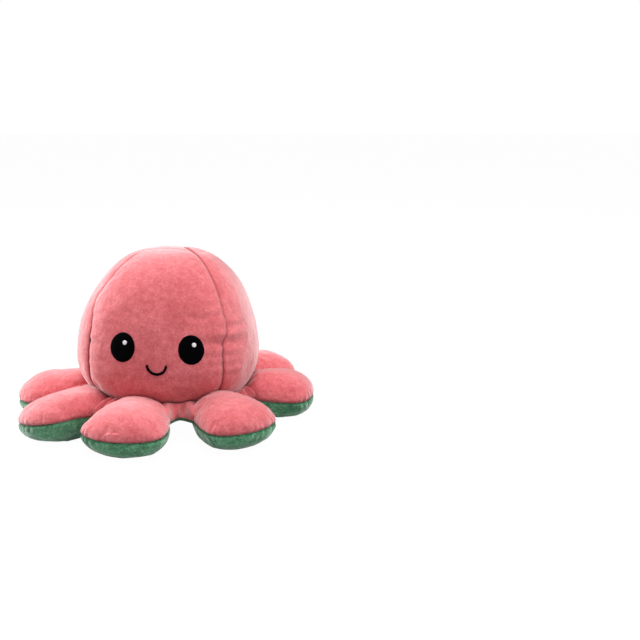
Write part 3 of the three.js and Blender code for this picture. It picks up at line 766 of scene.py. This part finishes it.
def skirt(name, section, rows, start, end, finish, node):
    """Cloth of a skirt from one azimuth to another, with a web between every two tentacles. A web hangs
    in folds from under the head and runs on beneath the tentacles, where a broad one also sinks."""
    def shape(u, v):
        azimuth = start + (end - start) * (u + 1) / 2
        number, across, half = web_at(azimuth)
        side = abs(across)
        out, up = section_point(section, v)
        rim = smoothstep(0.7, 1.0, out)
        broad = smoothstep(*BROAD_WEB, half)
        covered = smoothstep(1.1 - 0.2 * broad, 1.9 - 0.5 * broad, side)
        narrow = (1 - smoothstep(*NARROW_WEB, half)) * (1 - covered)
        reach = WEB_REACH * (1 - 0.8 * broad) * min(side, 1.1) ** 1.6 * (1 - covered) - WEB_TUCK * covered
        reach = reach * rim + NARROW_REACH * narrow * smoothstep(0.3, 1.0, out)
        out = NECK_RADIUS + WEB_WIDTH * out + reach
        # A dark line along the pink and green seam at the rim: painted shade of the crease, and parted pile
        seam = bell((up - SEAM_HEIGHT) / 0.7) * rim
        if up > SEAM_HEIGHT:
            lean = across - 0.3 + 0.5 * v + 0.4 * noise.noise(Vector((number * 1.7, 0.2, 0.0)))
            fold = WEB_FOLD * min(1.0, half / 6.0) * math.cos(2.0 * math.pi * lean) * (1 - covered)
            out += fold * smoothstep(0.5, 0.75, v) * (1 - smoothstep(0.8, 1.0, v))
            lift = smoothstep(0.3, 1.0, side) * (1 - covered)
            out += 1.5 * lift * math.sin(math.pi * v)
            sunk = broad * smoothstep(-1.5, 2.5, (side - 1) * half)
            rise = (1 + 0.15 * lift) * (1 - 0.55 * sunk) * (1 + 0.15 * narrow)
            hem = SEAM_HEIGHT + 0.6
            up = hem + (up - hem) * rise
        return spot(azimuth, out, up), seam, 0.0

    columns = max(24, round((end - start) * 2))
    made = piece(cloth(columns, rows, shape), name, finish)
    thicken(made)
    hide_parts(node)
    return made


def webs(name, section, rows, finish, node):
    """The outer cloth of a skirt, halved at each web's middle."""
    ring = sorted(TENTACLES, key=lambda tentacle: TENTACLES[tentacle][0])
    for before, after in zip(ring, ring[1:] + ring[:1]):
        first, last = TENTACLES[before][0], TENTACLES[after][0]
        last += 360 if last < first else 0
        middle, half = (first + last) / 2, (last - first) / 2 - ROOT_ANGLE
        held_out = ROOT_RADIUS + WEB_HOLD
        width = held_out * math.sin(math.radians(half + WEB_TURN))
        halves = ((before, "end", -1, first, middle), (after, "start", 1, middle, last))
        for tentacle, part, way, start, end in halves:
            made = skirt(f"{name}_{tentacle}_{part}", section, rows, start, end, finish, node)
            spot(middle, held_out, SEAM_HEIGHT)
            spot(middle, held_out, SEAM_HEIGHT, way * width)
            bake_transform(made)


webs("web_pink", PINK_SECTION, PINK_WEB_ROWS, PINK, "skirt_top")
webs("web_green", RIM_SECTION, GREEN_WEB_ROWS, GREEN, "skirt_bottom")
mouth = skirt("skirt_green", MOUTH_SECTION, MOUTH_ROWS, -180.0, 180.0, GREEN, "skirt_bottom")
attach(mouth, "head")


# Studio

PURE_WHITE, FLOOR_GREY = (1.0, 1.0, 1.0, 1.0), (0.5, 0.5, 0.5, 1.0)
FLOOR_GLOW, FLOOR_GLOW_SHARE, FLOOR_HALF, FLOOR_DROP = 1.04, 0.94, 6.0, 0.0002
FILL_LIGHT, BACKDROP_LIGHT = 0.28, 1.0


def facing(place, ahead):
    """The placing of a lamp or camera that looks ahead from a place."""
    return Matrix.Translation(place) @ ahead.to_track_quat("-Z", "Y").to_matrix().to_4x4()


def lamp(name, place, aim, size, power):
    """A round soft lamp."""
    light = bpy.data.lights.new(name, "AREA")
    light.shape, light.size, light.energy = "DISK", size, power
    made = bpy.data.objects.new(name, light)
    made.matrix_world = facing(place, aim - place)
    bpy.context.collection.objects.link(made)


def plainly_seen(nodes):
    """1 for what the camera sees, also in a mirror or through glass, and 0 for light on the toy."""
    camera, glossy, through = (nodes.node("ShaderNodeLightPath", None, None, f"Is {ray} Ray")
                               for ray in ("Camera", "Glossy", "Transmission"))
    return camera | glossy | through


def floor():
    """A pale floor that looks white and keeps a faint shadow."""
    finish = Nodes(bpy.data.materials.new("pale_floor"))
    paper = finish.node("ShaderNodeBsdfDiffuse", None, {"Color": FLOOR_GREY}, "BSDF")
    bright = {"Color": PURE_WHITE, "Strength": FLOOR_GLOW}
    glow = finish.node("ShaderNodeEmission", None, bright, "Emission")
    mixed = {0: plainly_seen(finish) * FLOOR_GLOW_SHARE, 1: paper, 2: glow}
    bm = bmesh.new()
    bmesh.ops.create_grid(bm, x_segments=2, y_segments=2, size=FLOOR_HALF)
    bmesh.ops.translate(bm, verts=bm.verts, vec=(0, 0, -FLOOR_DROP))
    mesh = bpy.data.meshes.new("floor")
    bm.to_mesh(mesh)
    bm.free()
    mesh.materials.append(finish.finished(finish.node("ShaderNodeMixShader", None, mixed, "Shader")))
    made = bpy.data.objects.new("floor", mesh)
    bpy.context.collection.objects.link(made)


def sky():
    """A white backdrop, and a weaker light from all round."""
    studio = Nodes(bpy.data.worlds.new("studio"))

    def light(strength):
        inputs = {"Color": PURE_WHITE, "Strength": strength}
        return studio.node("ShaderNodeBackground", None, inputs, "Background")

    dim, white = light(FILL_LIGHT), light(BACKDROP_LIGHT)
    mixed = {0: plainly_seen(studio), 1: dim, 2: white}
    shader = studio.node("ShaderNodeMixShader", None, mixed, "Shader")
    bpy.context.scene.world = studio.finished(shader, "ShaderNodeOutputWorld")


# Camera: the picture's width and its lens in pixels, its sensor in millimetres, its turns in degrees, and
# its place in metres from the toy's axis
PICTURE_WIDTH, LENS_PIXELS, SENSOR = 640.0, 975.65, 36.0
CAMERA_YAW, CAMERA_PITCH = -1.10958, -12.58735
CAMERA_PLACE = Vector((0.113458, -0.638461, 0.208749))


def camera():
    """The photo's viewpoint, with the toy left of the middle."""
    made = bpy.data.objects.new("camera", bpy.data.cameras.new("camera"))
    bpy.context.collection.objects.link(made)
    made.data.sensor_fit, made.data.sensor_width = "HORIZONTAL", SENSOR
    made.data.lens = SENSOR * LENS_PIXELS / PICTURE_WIDTH
    made.data.clip_start = 0.01
    yaw, pitch = math.radians(CAMERA_YAW), math.radians(CAMERA_PITCH)
    ahead = Vector((math.sin(yaw) * math.cos(pitch), math.cos(yaw) * math.cos(pitch), math.sin(pitch)))
    made.matrix_world = facing(CAMERA_PLACE + AXIS, ahead)
    bpy.context.scene.camera = made


toy_middle = Vector((0.0, 0.0, 0.05))
lamp("overhead_light", Vector((0.2, -0.2, 1.15)), toy_middle, size=1.1, power=15.0)
lamp("left_light", Vector((-0.9, 0.3, 0.5)), toy_middle, size=0.7, power=14.0)
lamp("right_light", Vector((0.9, 0.3, 0.5)), toy_middle, size=0.7, power=4.0)
floor()
sky()
camera()
bpy.context.scene.view_settings.view_transform = "Standard"
